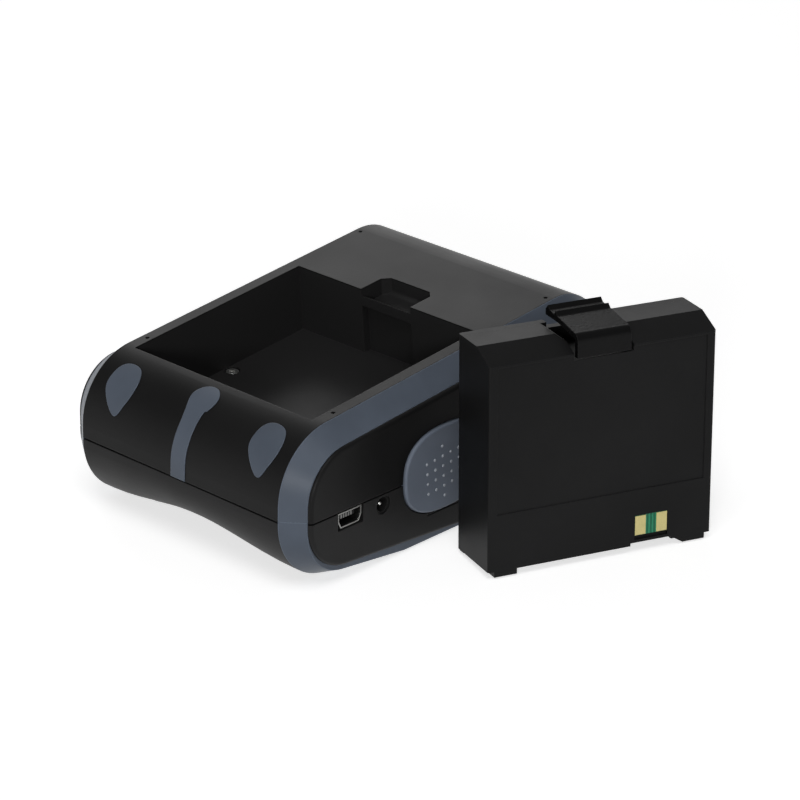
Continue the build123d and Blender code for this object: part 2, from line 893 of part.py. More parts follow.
def make_gears():
    fine_x, main_x = gear_planes()
    ry, rz = reduction_centre()
    my, mz = motor_centre()
    half_small = 180 / small_teeth
    half_pinion = 180 / pinion_teeth
    platen_gear = Pos(main_x, platen_y, platen_z) * gear(platen_teeth, gear_module, gear_thickness, 90)
    platen_gear -= rod(0, far, platen_y, platen_z, shaft_radius)
    small = Pos(main_x - gear_gap, ry, rz) * gear(small_teeth, gear_module, gear_thickness + gear_gap, -90 + half_small)
    large = Pos(fine_x, ry, rz) * gear(large_teeth, gear_module_fine, gear_thickness, motor_angle)
    reduction = small + large
    reduction -= rod(0, far, ry, rz, gear_pin_radius + running_clearance)
    pinion = Pos(fine_x, my, mz) * gear(pinion_teeth, gear_module_fine, gear_thickness, motor_angle + 180 + half_pinion)
    pinion += rod(cheek_inner - motor_length / 2, fine_x, my, mz, motor_shaft_radius)
    return platen_gear, reduction, pinion


def make_platen():
    roller = rod(-platen_half_length, platen_half_length, platen_y, platen_z, platen_radius)
    roller -= rod(-far / 2, far / 2, platen_y, platen_z, shaft_radius)
    end = arm_inner + arm_thickness
    shaft = rod(-end, end, platen_y, platen_z, shaft_radius)
    bushes = []
    for x in (cheek_inner, -cheek_inner - cheek_thickness):
        bush = rod(x, x + cheek_thickness, platen_y, platen_z, bush_radius)
        bush -= rod(x - 1, x + cheek_thickness + 1, platen_y, platen_z, shaft_radius + running_clearance)
        bushes.append(bush)
    return roller, shaft, bushes


def cheek(right):
    """One side plate of the print mechanism, with its open slot for the platen bush."""
    x0 = cheek_inner if right else -cheek_inner - cheek_thickness
    x1 = x0 + cheek_thickness
    plate = block(x0, x1, frame_front, 2.9, frame_low_z, frame_top_z)
    plate += block(x0, x1, frame_front, 8.0, 14.4, frame_top_z)
    seat = bush_radius + running_clearance
    plate -= rod(x0 - 1, x1 + 1, platen_y, platen_z, seat)
    slot = [(0, platen_y - seat, platen_z), (0, platen_y - seat, 0), (0, platen_y + seat + 1.2, 0),
            (0, platen_y + seat, platen_z)]
    plate -= slab(make_face([Polyline(*slot, close=True)]), x0 - 1, x1 + 1)
    if right:
        ry, rz = reduction_centre()
        my, mz = motor_centre()
        plate -= rod(x0 - 1, x1 + 1, my, mz, motor_shaft_radius + 0.5)
        plate -= rod(x0 - 1, x1 + 1, ry, rz, gear_pin_radius)
    return plate


def make_frame():
    outer = cheek_inner + cheek_thickness
    frame = cheek(True) + cheek(False)
    frame -= head_lugs(head_gap)
    frame += block(-outer, outer, frame_front, frame_front + frame_plate, frame_low_z, frame_top_z)
    flange_rear = bay_place(screw_rear, bay_depth)[0] + screw_pocket_radius + 0.4
    frame += block(-outer, outer, frame_front, flange_rear, boss_top(screw_rear) - frame_plate, boss_top(screw_rear))
    for x, y in screw_places():
        world_y = bay_place(y, bay_depth)[0]
        if world_y > shell_end_y:
            frame -= post(x, world_y, 0, far, screw_shank_radius)
    return frame


def head_lugs(gap):
    """Lugs at both ends of the heatsink, which rest in slots of the cheeks."""
    back = platen_y - platen_radius - head_gap - head_thickness
    reach = cheek_inner + cheek_thickness
    z0 = head_low_z + head_height / 3
    lugs = block(-reach, 0.4 - platen_half_length, back - heatsink_thickness + 0.5 - gap, back - 0.5 + gap,
                 z0 - gap, z0 + head_height / 4 + gap)
    return lugs + mirrored(lugs)


def make_print_head():
    face = platen_y - platen_radius - head_gap
    back = face - head_thickness
    head = block(-platen_half_length, platen_half_length, back, face, head_low_z, head_low_z + head_height)
    sink = block(-platen_half_length, platen_half_length, back - heatsink_thickness, back,
                 head_low_z, head_low_z + head_height)
    sink += head_lugs(0)
    for i in range(-3, 4):
        x = i * platen_half_length * 2 / 7
        sink -= block(x - 1.5, x + 1.5, back - heatsink_thickness - 1, back - heatsink_thickness / 2,
                      head_low_z + 7, far)
    springs = []
    seat = frame_front + frame_plate
    length = back - heatsink_thickness - seat
    measures = (length, head_spring_radius, head_spring_wire, head_spring_turns)
    print("head spring, least gap", round(coil_gap(*measures), 3))
    for x in (-head_spring_x, head_spring_x):
        springs.append(Pos(x, seat, head_low_z + head_spring_z) * Rot(-90, 0, 0) * coil(*measures))
    return head, sink, springs


def make_motor():
    y, z = motor_centre()
    can = rod(cheek_inner - motor_length, cheek_inner, y, z, motor_radius)
    can -= rod(cheek_inner - motor_length / 2 - 1, cheek_inner + 1, y, z, motor_shaft_radius + running_clearance)
    return can


def make_gear_pin():
    ry, rz = reduction_centre()
    return rod(cheek_inner, gear_planes()[1] + gear_thickness + gear_gap / 2, ry, rz, gear_pin_radius)


def make_main_board():
    z0 = socket_z()
    board = block(-board_half_width, board_half_width, board_front, board_rear, z0, z0 + board_thickness)
    for x, y in screw_places():
        world_y = bay_place(y, bay_depth)[0]
        board -= post(x, world_y, 0, far, boss_radius + pad_gap)
    for x, y in board_screw_places():
        board -= post(x, y, 0, far, board_screw_radius)
    return board


def board_screw_places():
    return [(x, y) for x in (-board_screw_x, board_screw_x) for y in (board_screw_rear, board_screw_front)]


def make_board_screws():
    screws = []
    z0 = socket_z()
    for x, y in board_screw_places():
        screw = post(x, y, z0 - 0.9, z0, 1.5) + post(x, y, z0, z0 + board_screw_length, board_screw_radius)
        screws.append(screw)
    return screws


def make_components():
    z = socket_z()
    parts = [(-12, -30, 9, 9, 1.2), (4, -44, 14, 6, 1.0), (6, -30, 6, 6, 1.4), (16, -44, 5, 5, 2.4),
             (-26, -26, 6, 8, 1.6), (-24, -44, 10, 6, 3.0)]
    return [block(x - w / 2, x + w / 2, y - d / 2, y + d / 2, z - h, z) for x, y, w, d, h in parts]


def make_usb():
    x1 = half_width - socket_sink
    x0 = x1 - usb_length
    top = socket_z()
    outline = Polyline(
        (0, usb_y - usb_width / 2, top), (0, usb_y + usb_width / 2, top),
        (0, usb_y + usb_width / 2, top - usb_height * 0.55), (0, usb_y + usb_width / 2 - 0.9, top - usb_height),
        (0, usb_y - usb_width / 2 + 0.9, top - usb_height), (0, usb_y - usb_width / 2, top - usb_height * 0.55),
        close=True,
    )
    face = make_face([outline])
    shell = slab(face, x0, x1) - slab(offset(face, -usb_wall), x0 + 1, x1 + 1)
    tongue = block(x0 + 1, x1 - 1.2, usb_y - 2.6, usb_y + 2.6, top - 2.2, top - 1.2)
    return shell, tongue


def make_jack():
    x1 = half_width - socket_sink
    z = jack_z()
    inner = side_x - wall - 0.4
    body_block = block(inner - 9, inner, jack_y - 2.8, jack_y + 2.8, z - jack_radius, socket_z())
    jack = body_block + rod(inner, x1, jack_y, z, jack_radius)
    jack -= rod(x1 - 9.5, x1 + 1, jack_y, z, jack_bore)
    pin = rod(x1 - 9.5, x1 - 1.0, jack_y, z, jack_pin_radius)
    return jack, pin


def make_contacts():
    x, (y, z) = contact_place()
    half = contact_width / 2
    deep = contact_height / 2
    block_low = socket_z() + board_thickness
    carrier = block(x - half, x + half, y - deep, y + deep, block_low, z + 0.2)
    blades = []
    for i in (-1, 0, 1):
        cx = x + i * contact_width / 3
        carrier -= block(cx - 0.7, cx + 0.7, y - deep + 0.6, y + deep - 0.6, z - 1.2, z + 1)
        arc = ThreePointArc((0, y - deep + 0.7, z - 1.0), (0, y, z + 1.1), (0, y + deep - 0.7, z - 1.0))
        back = ThreePointArc((0, y + deep - 1.0, z - 1.0), (0, y, z + 0.8), (0, y - deep + 1.0, z - 1.0))
        ends = [Line(arc @ 1, back @ 0), Line(back @ 1, arc @ 0)]
        blades.append(slab(make_face([arc, ends[0], back, ends[1]]), cx - 0.5, cx + 0.5))
    return carrier, blades


def make_bay_screws():
    screws = []
    for x, y in screw_places():
        world_y, floor_z = bay_place(y, bay_depth)
        seat = floor_z - screw_pocket_depth
        screw = post(x, world_y, seat, seat + screw_head_height, screw_head_radius)
        screw += post(x, world_y, seat - screw_length, seat, screw_shank_radius)
        top = seat + screw_head_height
        for cut_w, cut_d in ((1.9, 0.4), (0.4, 1.9)):
            screw -= block(x - cut_w / 2, x + cut_w / 2, world_y - cut_d / 2, world_y + cut_d / 2, top - 0.6, top + 1)
        screws.append(screw)
    return screws


def bucket_centre():
    gap = 0.2
    return rear_y - wall - gap - bucket_wall - bucket_radius, wall + gap + bucket_radius


def make_bucket():
    """Trough for the paper roll, open towards the lid."""
    y, z = bucket_centre()
    outer = bucket_radius + bucket_wall
    half = bucket_half_width + bucket_cheek
    trough = rod(-half, half, y, z, outer)
    trough += block(-half, -bucket_half_width, y - outer + 2, y + outer - 2, z, base_line(y - outer + 2, wall) - 0.1)
    trough += block(bucket_half_width, half, y - outer + 2, y + outer - 2, z, base_line(y - outer + 2, wall) - 0.1)
    trough -= rod(-bucket_half_width, bucket_half_width, y, z, bucket_radius)
    trough -= block(-far, far, -far, far, -far, wall + 0.4)
    mouth = bucket_radius * 0.75
    trough -= block(-bucket_half_width, bucket_half_width, y - far, y + far, -far, z - mouth)
    trough -= rod(-far / 2, far / 2, hinge_y, hinge_z, hinge_radius + hinge_gap)
    walls, hollow = bay()
    return (trough & body(wall + bucket_clearance)) - walls


def make_tear_bar():
    """Toothed steel strip at the edge of the paper slot."""
    z0 = tear_bar_z
    teeth = tear_bar_teeth
    pitch = 2 * paper_half_width / teeth
    y1 = shell_end_y
    points = [(-paper_half_width, y1 - 1.6, z0), (-paper_half_width, y1, z0)]
    for i in range(teeth):
        x = -paper_half_width + i * pitch
        points.append((x + pitch / 2, y1 + 0.4, z0))
        points.append((x + pitch, y1, z0))
    points.append((paper_half_width, y1 - 1.6, z0))
    strip = extrude(make_face([Polyline(*points, close=True)]), amount=tear_bar_thickness, dir=(0, 0, 1))
    return strip


def pack_frame():
    lean = math.radians(pack_lean)
    lift = tab_depth * math.sin(lean)
    return Pos(pack_x, pack_y, lift) * Rot(0, 0, pack_turn) * Rot(-pack_lean, 0, 0)


def latch_profile():
    """Side view of the spring tongue: upright front, flat top that climbs, and two finger ridges."""
    edge = pack_top() + latch_proud
    top = edge + latch_climb
    low = latch_low()
    r = latch_round
    t = latch_wall
    end = pack_thickness
    turn = r * (1 - math.sqrt(0.5))
    bend = ThreePointArc((0, 0, edge - r), (0, turn, edge - turn), (0, r, edge))
    flat_end = end - 6.4
    first = end - 4.8
    second = end - 1.1
    rim = Polyline(
        (0, r, edge), (0, flat_end, top), (0, flat_end + 0.5, top), (0, first, top + latch_ridge),
        (0, first + 0.5, top), (0, second - 1.0, top + 0.3), (0, second, top + 0.3 + latch_ridge),
        (0, end, top), (0, end, top - t), (0, flat_end, top - t), (0, r, edge - t),
    )
    inner = ThreePointArc(
        (0, r, edge - t),
        (0, r - (r - t) * math.sqrt(0.5), edge - r + (r - t) * math.sqrt(0.5)),
        (0, t, edge - r),
    )
    foot = Polyline((0, t, edge - r), (0, t, low), (0, 0, low), (0, 0, edge - r))
    return make_face([bend, rim, inner, foot])


def pack_top():
    return tab_height + pack_height


def make_pack():
    place = pack_frame()
    split = pack_thickness - cover_thickness
    low = tab_height
    top = pack_top()
    case = block(0, pack_width, 0, pack_thickness, low, top)
    edges = case.edges().filter_by(Axis.Z)
    case = fillet(edges, pack_edge)
    front_top = [e for e in case.edges() if e.center().Z > top - 0.01 and e.center().Y < 0.01]
    steep = pack_chamfer_drop / pack_chamfer_run
    wedge = make_face([Polyline((0, -1, top + 1), (0, -1, top - pack_chamfer_drop - steep),
                                (0, pack_chamfer_run + 1 / steep, top + 1), close=True)])
    case -= slab(wedge, -1, pack_width + 1)
    blank = case
    room_top = top - pack_chamfer_drop - 2 * pack_wall - latch_room
    inside = block(pack_wall, pack_width - pack_wall, pack_wall, pack_thickness - pack_wall, low + pack_wall,
                   room_top)
    case = blank & block(-1, pack_width + 1, -1, split, 0, far)
    case -= inside
    middle = pack_width / 2
    half = latch_width / 2 + latch_gap
    case -= block(middle - half, middle + half, -1, pack_thickness + 1,
                  top - pack_chamfer_drop - latch_room, top + 1)
    for side in (-1, 1):
        brink = middle + side * half
        facet = Polyline((brink, 0, top - latch_facet_depth), (brink + side * latch_facet, 0, top),
                         (brink + side * latch_facet, 0, top + 1), (brink - side, 0, top + 1),
                         (brink - side, 0, top - latch_facet_depth), close=True)
        case -= extrude(make_face([facet]), amount=split, dir=(0, 1, 0))
    case -= block(middle - half, middle + half, -1, latch_wall + 0.4, latch_low(), top)
    case -= block(label_margin, pack_width - label_margin, -1, label_sink, label_low + low,
                  top - pack_chamfer_drop - label_gap)
    for u in (tab_inset, pack_width - tab_inset - tab_width):
        case += block(u, u + tab_width, 0, tab_depth, 0, low + 0.01)
    slant = pack_width - tab_inset - tab_width
    case += slab_across([(slant, 0), (slant, low + 0.01), (slant - tab_slant, low + 0.01)], 0, tab_depth)
    cu = contact_u
    window = block(cu - contact_width / 2, cu + contact_width / 2, -1, contact_sink, low + contact_low - 1,
                   low + contact_low + contact_height)
    case -= window
    case -= block(cu - contact_width / 2 - 1, cu + contact_width / 2 + 1, -1, split, low - 1, low + 0.7)
    cover = blank & block(-1, pack_width + 1, split, pack_thickness + 1, 0, far)
    cover -= block(middle - half, middle + half, split - 1, pack_thickness + 1, top - latch_dip, top + 1)
    lean = math.radians(pack_lean)
    cover_low = (pack_thickness - tab_depth) * math.tan(lean)
    cover += block(pack_edge, pack_width - pack_edge, split, pack_thickness, cover_low, low + 0.01)
    cover -= inside
    latch = slab(latch_profile(), middle - latch_width / 2, middle + latch_width / 2)
    green = block(cu - contact_width / 2 + 0.1, cu + contact_width / 2 - 0.1, contact_sink - 0.35, contact_sink,
                  low + contact_low, low + contact_low + contact_height - 0.1)
    pads = []
    for u in (cu - contact_width / 2 + 0.15, cu + contact_width / 2 - 0.15 - contact_pad_width):
        pads.append(block(u, u + contact_pad_width, contact_sink - 0.5, contact_sink - 0.35,
                          low + contact_low + 0.1, low + contact_low + contact_height - 0.2))
    cells = []
    room = pack_width - 2 * pack_wall
    for i in range(2):
        u = pack_wall + 0.4 + i * room / 2
        cells.append(block(u, u + room / 2 - 0.8, pack_wall, pack_thickness - pack_wall - 0.4,
                           low + pack_wall + cell_lift, room_top - cell_clearance))
    shapes = {"pack_case": case, "pack_cover": cover, "pack_latch": latch, "pack_contact_board": green}
    placed = {name: place * shape for name, shape in shapes.items()}
    placed["pack_contact_pads"] = [place * pad for pad in pads]
    placed["pack_cells"] = [place * cell for cell in cells]
    return placed


def latch_low():
    return pack_top() - pack_chamfer_drop - latch_foot


def slab_across(corners, y0, y1):
    """Prism along +Y from corners (x, z)."""
    outline = Polyline(*[(x, y0, z) for x, z in corners], close=True)
    return extrude(make_face([outline]), amount=y1 - y0, dir=(0, 1, 0))


def solids_of(shape):
    if isinstance(shape, (list, tuple)):
        found = []
        for item in shape:
            found.extend(solids_of(item))
        return found
    return list(shape.solids())


def save(name, shape):
    solids = solids_of(shape)
    export_step(Compound(children=solids) if len(solids) > 1 else solids[0], f"parts/{name}.step")


def main():
    os.makedirs("parts", exist_ok=True)
    bands = make_bands()
    inlays = make_inlays()
    pieces = dict(bands)
    pieces.update(inlays)
    pieces["bottom_shell"] = make_bottom_shell(bands, inlays)
    pieces["top_shell"] = make_top_shell(bands)
    pieces["lid"] = make_lid()
    button = make_release_button()
    pieces["release_button_right"] = button
    pieces["release_button_left"] = mirrored(button)
    spring = make_release_spring()
    pieces["release_spring_right"] = spring
    pieces["release_spring_left"] = mirrored(spring)
    overlay, keys, lenses = make_panel()
    pieces["panel_overlay"] = overlay
    pieces.update(keys)
    pieces["status_lenses"] = lenses
    pieces["key_board"] = make_key_board()
    pieces["main_board"] = make_main_board()
    pieces["board_components"] = make_components()
    pieces["board_screws"] = make_board_screws()
    pieces["bay_screws"] = make_bay_screws()
    pieces["usb_shell"], pieces["usb_tongue"] = make_usb()
    pieces["dc_jack"], pieces["dc_jack_pin"] = make_jack()
    pieces["battery_contact_block"], pieces["battery_contacts"] = make_contacts()
    pieces["mechanism_frame"] = make_frame()
    pieces["print_head"], pieces["head_heatsink"], pieces["head_springs"] = make_print_head()
    pieces["feed_motor"] = make_motor()
    pieces["platen_gear"], pieces["reduction_gear"], pieces["motor_pinion"] = make_gears()
    pieces["gear_pin"] = make_gear_pin()
    pieces["platen_roller"], pieces["platen_shaft"], pieces["platen_bushes"] = make_platen()
    pieces["roll_bucket"] = make_bucket()
    pieces["hinge_pin"] = rod(-ear_inner - ear_width, ear_inner + ear_width, hinge_y, hinge_z, hinge_pin_radius)
    pieces["tear_bar"] = make_tear_bar()
    pieces.update(make_pack())
    for name, shape in pieces.items():
        save(name, shape)


main()
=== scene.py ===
import math

import bmesh
import bpy
from mathutils import Matrix, Vector


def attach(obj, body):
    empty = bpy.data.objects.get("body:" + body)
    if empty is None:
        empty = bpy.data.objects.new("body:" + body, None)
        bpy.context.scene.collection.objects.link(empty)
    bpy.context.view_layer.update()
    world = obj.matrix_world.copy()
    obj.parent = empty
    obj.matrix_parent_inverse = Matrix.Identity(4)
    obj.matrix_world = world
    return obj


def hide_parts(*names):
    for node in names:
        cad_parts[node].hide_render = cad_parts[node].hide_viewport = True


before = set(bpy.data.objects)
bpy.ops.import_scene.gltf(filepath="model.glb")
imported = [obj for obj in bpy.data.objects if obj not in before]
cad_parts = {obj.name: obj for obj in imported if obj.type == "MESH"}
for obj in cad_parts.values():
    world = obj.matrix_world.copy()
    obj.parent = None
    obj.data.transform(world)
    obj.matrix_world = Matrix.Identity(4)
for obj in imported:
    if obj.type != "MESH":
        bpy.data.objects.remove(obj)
scene = bpy.context.scene
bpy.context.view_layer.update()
MM = 0.001
# Bands of a wave texture across one unit at scale 1
WAVE_PER_METRE = math.pi / 10

# Sizes and places in mm, from the part's source
BASE_HEIGHT = 41.6
TILT_COS = math.cos(math.radians(5.77))
TILT_SIN = math.sin(math.radians(5.77))
PAD_FACE_X = 39.5
DOT_COLUMNS = 8
DOT_LONG_COLUMNS = (2, 5)
DOT_ROWS = 4
DOT_LONG_ROWS = 6
DOT_CENTRE_Y = -5.2
DOT_CENTRE_DEPTH = 23.4
DOT_PITCH_Y = 2.7
DOT_PITCH_Z = 2.6
DOT_RADIUS = 0.4
USB_Y = -37.1
USB_CONTACT_PITCH = 0.8
USB_CONTACT_HALF = 0.2
TONGUE_END_X = 37.2
TONGUE_TOP = 16.0
CONTACT_SKIN = 0.06
JACK_Y = -26.4
JACK_Z = 14.9
JACK_PIN_END_X = 37.4
JACK_PIN_RADIUS = 0.6

# Space of the battery bay and its notch, which ends just below the tilted base; inside it the case is painted
# paler, as painted light
BAY_BOX = ((-29.5, -39.0, 20.0), (29.5, 26.0, BASE_HEIGHT / TILT_COS - 0.5))

# Arch of the dished control panel over the solids: its greatest rise, half width, and where it fades out
ARCH_RISE = 3.4
ARCH_HALF_WIDTH = 31.0
ARCH_FULL_Y = -38.0
ARCH_END_Y = -16.0
ARCH_TOP_Z = 17.8
ARCH_STEP = 4
# The dish behind the front lip rises further, so that its keys stay hidden from the front
DISH_RISE = 1.5
DISH_FRONT_Y = -49.0
DISH_FULL_Y = -41.0
ARCH_CUT_START_Y = -52
CUT_TOLERANCE = 1e-7
SHARP_ANGLE = math.radians(28)
# The solids' dish and front rounding, and the film's posts, whose front ends stand out of the rounding
FRONT_Y = -54.3
LOW_RADIUS = 17.0
SHELL_END_Y = -11.3
SCOOP_RADIUS = 147.0
SCOOP_FRONT = 3.2
SCOOP_REAR = 0.4
FILM_PROUD = 0.12
POST_X = 19.2
POST_Y = -45.2
POST_REACH = 1.9

# Turn of the pack about Z, in degrees, so that the tracks of its contact strip run upright
STRIP_TURN = -67.8

# Sockets of a mix node that blends colours
MIX_A = 6
MIX_B = 7
MIX_RESULT = 2

# Studio: how strongly the floor and the backdrop show and light, how the wall darkens with height, and the
# length in metres below which a ray starts on a piece that stands on the floor
FLOOR_WHITE = 0.8
FLOOR_GLOW = 0.66
FLOOR_HALF_SIZE = 6.0
FLOOR_DROP = 0.0003
NEAR_RAY = 0.002
BACKDROP_LIGHT = 0.3
WALL_LOW = 0.05
WALL_HIGH = 0.45
WALL_DIM = 0.35


def grey(value):
    return (value, value, value, 1.0)


def toned(colour, factor, lift=0.0):
    """Colour made lighter or darker by a factor and lifted by a flat amount."""
    return tuple(min(c * factor + lift, 1.0) for c in colour[:3]) + (1.0,)


class Maker:
    """Small helper that wires the nodes of one material."""

    def __init__(self, name):
        self.material = bpy.data.materials.new(name)
        self.material.use_nodes = True
        self.tree = self.material.node_tree
        self.tree.nodes.clear()
        self.output = self.add("ShaderNodeOutputMaterial")
        self.shader = self.add("ShaderNodeBsdfPrincipled")
        self.link(self.shader, "BSDF", self.output, "Surface")
        self.place = self.add("ShaderNodeTexCoord")

    def add(self, kind, **values):
        node = self.tree.nodes.new(kind)
        for key, value in values.items():
            if key in node.inputs:
                node.inputs[key].default_value = value
            else:
                setattr(node, key, value)
        return node

    def link(self, a, out, b, into):
        self.tree.links.new(a.outputs[out], b.inputs[into])

    def noise(self, scale, detail=3.0, rough=0.55, stretch=None):
        node = self.add("ShaderNodeTexNoise", Scale=scale, Detail=detail, Roughness=rough)
        if stretch is None:
            self.link(self.place, "Object", node, "Vector")
        else:
            mapping = self.add("ShaderNodeMapping")
            mapping.inputs["Scale"].default_value = stretch
            self.link(self.place, "Object", mapping, "Vector")
            self.link(mapping, "Vector", node, "Vector")
        return node

    def ramp(self, source, out, stops):
        node = self.add("ShaderNodeValToRGB")
        while len(node.color_ramp.elements) < len(stops):
            node.color_ramp.elements.new(0.5)
        for element, (position, colour) in zip(node.color_ramp.elements, stops):
            element.position = position
            element.color = colour
        self.link(source, out, node, "Fac")
        return node

    def spread(self, source, out, low, high):
        node = self.add("ShaderNodeMapRange")
        node.inputs["To Min"].default_value = low
        node.inputs["To Max"].default_value = high
        self.link(source, out, node, "Value")
        return node

    def mix(self, fac, fac_out, a, b):
        node = self.add("ShaderNodeMix", data_type="RGBA")
        self.link(fac, fac_out, node, "Factor")
        for value, socket in ((a, node.inputs[MIX_A]), (b, node.inputs[MIX_B])):
            if isinstance(value, tuple):
                socket.default_value = value
            else:
                self.tree.links.new(value, socket)
        return node.outputs[MIX_RESULT]

    def inside_box(self, low, high):
        """Mask that is one inside a box, in mm, whose top and bottom lean as the tilted base does."""
        split = self.add("ShaderNodeSeparateXYZ")
        self.link(self.place, "Object", split, "Vector")
        level = self.add("ShaderNodeVectorMath", operation="DOT_PRODUCT")
        self.link(self.place, "Object", level, 0)
        level.inputs[1].default_value = (0.0, -TILT_SIN / TILT_COS, 1.0)
        mask = None
        for source, out, a, b in ((split, "X", low[0], high[0]), (split, "Y", low[1], high[1]),
                                  (level, "Value", low[2], high[2])):
            for operation, limit in (("GREATER_THAN", a), ("LESS_THAN", b)):
                test = self.add("ShaderNodeMath", operation=operation)
                self.link(source, out, test, 0)
                test.inputs[1].default_value = limit * MM
                if mask is not None:
                    both = self.add("ShaderNodeMath", operation="MULTIPLY")
                    self.link(mask, "Value", both, 0)
                    self.link(test, "Value", both, 1)
                    test = both
                mask = test
        return mask

    def edges(self, radius):
        """Mask that is bright on outer edges, from how far a rounded normal leaves the true one; it carries
        rubbed edges and painted edge highlights.
        """
        bevel = self.add("ShaderNodeBevel", samples=4)
        bevel.inputs["Radius"].default_value = radius
        geometry = self.add("ShaderNodeNewGeometry")
        dot = self.add("ShaderNodeVectorMath", operation="DOT_PRODUCT")
        self.link(bevel, "Normal", dot, 0)
        self.link(geometry, "Normal", dot, 1)
        mask = self.add("ShaderNodeMapRange")
        mask.inputs["From Min"].default_value = 0.995
        mask.inputs["From Max"].default_value = 0.86
        self.link(dot, "Value", mask, "Value")
        return bevel, mask

    def bump(self, height, out, strength, distance, under=None):
        node = self.add("ShaderNodeBump", Strength=strength, Distance=distance)
        self.link(height, out, node, "Height")
        if under is not None:
            self.link(under, "Normal", node, "Normal")
        return node


def plastic(name, colour, rough, grain=0.16, grain_scale=2600.0, edge_radius=0.25, wear_and_glint=0.35, blotch=0.25,
            specular=0.15, coat=0.0, painted_light_box=None, painted_light_colour=None):
    """Moulded plastic: spark-eroded grain, slow tone changes, handled gloss patches and paler edges, which are
    rubbed edges and, on the latch, also painted glints.

    Inside the optional box, in mm, the surface takes the second colour, a paler tone painted as light into a
    shaded recess.
    """
    m = Maker(name)
    slow = m.noise(26.0, 4.0)
    fine = m.noise(grain_scale, 2.0, 0.6)
    dust = m.noise(900.0, 6.0, 0.75)
    tone = m.ramp(slow, "Fac", [(0.3, toned(colour, 1 - blotch)), (0.7, toned(colour, 1 + blotch))])
    specks = m.ramp(dust, "Fac", [(0.62, grey(0.0)), (0.8, grey(1.0))])
    dusty = m.mix(m.spread(specks, "Color", 0.0, 0.1), "Result", tone.outputs["Color"], toned(colour, 2.5, 0.05))
    bevel, mask = m.edges(edge_radius * MM)
    # Paler edges: rubbed edges, and painted glints where the share is large, as on the latch
    worn_and_glinting = m.spread(mask, "Result", 0.0, wear_and_glint)
    finished = m.mix(worn_and_glinting, "Result", dusty, toned(colour, 2.2, 0.02))
    # Painted light: inside the box the colour turns to the paler tone that lightens the recess of the bay
    if painted_light_box is not None:
        finished = m.mix(m.inside_box(*painted_light_box), "Value", finished, painted_light_colour)
    m.tree.links.new(finished, m.shader.inputs["Base Color"])
    gloss = m.noise(60.0, 5.0, 0.6)
    m.link(m.spread(gloss, "Fac", rough - 0.07, rough + 0.09), "Result", m.shader, "Roughness")
    m.shader.inputs["Specular IOR Level"].default_value = specular
    if coat:
        m.shader.inputs["Coat Weight"].default_value = coat
        m.shader.inputs["Coat Roughness"].default_value = 0.12
    m.link(m.bump(fine, "Fac", grain, 0.00008, bevel), "Normal", m.shader, "Normal")
    return m.material


def rubber(name, colour, rough=0.55, grain=0.2, specular=0.22):
    """Soft-touch rubber: matt, a little velvety, with lint, faint scuffs and painted highlights on its edges."""
    m = Maker(name)
    slow = m.noise(40.0, 4.0)
    lint = m.noise(420.0, 8.0, 0.8, (1.0, 3.0, 1.0))
    fine = m.noise(3600.0, 2.0)
    tone = m.ramp(slow, "Fac", [(0.32, toned(colour, 0.86)), (0.68, toned(colour, 1.14))])
    scuff = m.ramp(lint, "Fac", [(0.66, grey(0.0)), (0.78, grey(1.0))])
    mixed = m.mix(m.spread(scuff, "Color", 0.0, 0.16), "Result", tone.outputs["Color"], toned(colour, 1.9))
    # Painted highlight: edges turn up to twice as pale, standing in for light caught on the rims
    bevel, mask = m.edges(0.3 * MM)
    painted_rim_highlight = m.mix(m.spread(mask, "Result", 0.0, 0.9), "Result", mixed, toned(colour, 2.0))
    m.tree.links.new(painted_rim_highlight, m.shader.inputs["Base Color"])
    m.link(m.spread(slow, "Fac", rough - 0.06, rough + 0.08), "Result", m.shader, "Roughness")
    m.shader.inputs["Specular IOR Level"].default_value = specular
    m.shader.inputs["Sheen Weight"].default_value = 0.05
    m.shader.inputs["Sheen Roughness"].default_value = 0.4
    m.link(m.bump(fine, "Fac", grain, 0.00006, bevel), "Normal", m.shader, "Normal")
    return m.material


def metal(name, colour, rough=0.3, stretch=(1.0, 30.0, 30.0), brush=0.25, tarnish=0.2):
    """Plated or drawn metal with fine lines and a little tarnish."""
    m = Maker(name)
    lines = m.noise(700.0, 4.0, 0.6, stretch)
    spots = m.noise(500.0, 6.0, 0.7)
    tone = m.ramp(spots, "Fac", [(0.35, toned(colour, 1 - tarnish)), (0.65, colour)])
    m.link(tone, "Color", m.shader, "Base Color")
    m.shader.inputs["Metallic"].default_value = 1.0
    m.link(m.spread(lines, "Fac", rough - 0.08, rough + 0.12), "Result", m.shader, "Roughness")
    bevel, _ = m.edges(0.1 * MM)
    m.link(m.bump(lines, "Fac", brush, 0.00002, bevel), "Normal", m.shader, "Normal")
    return m.material


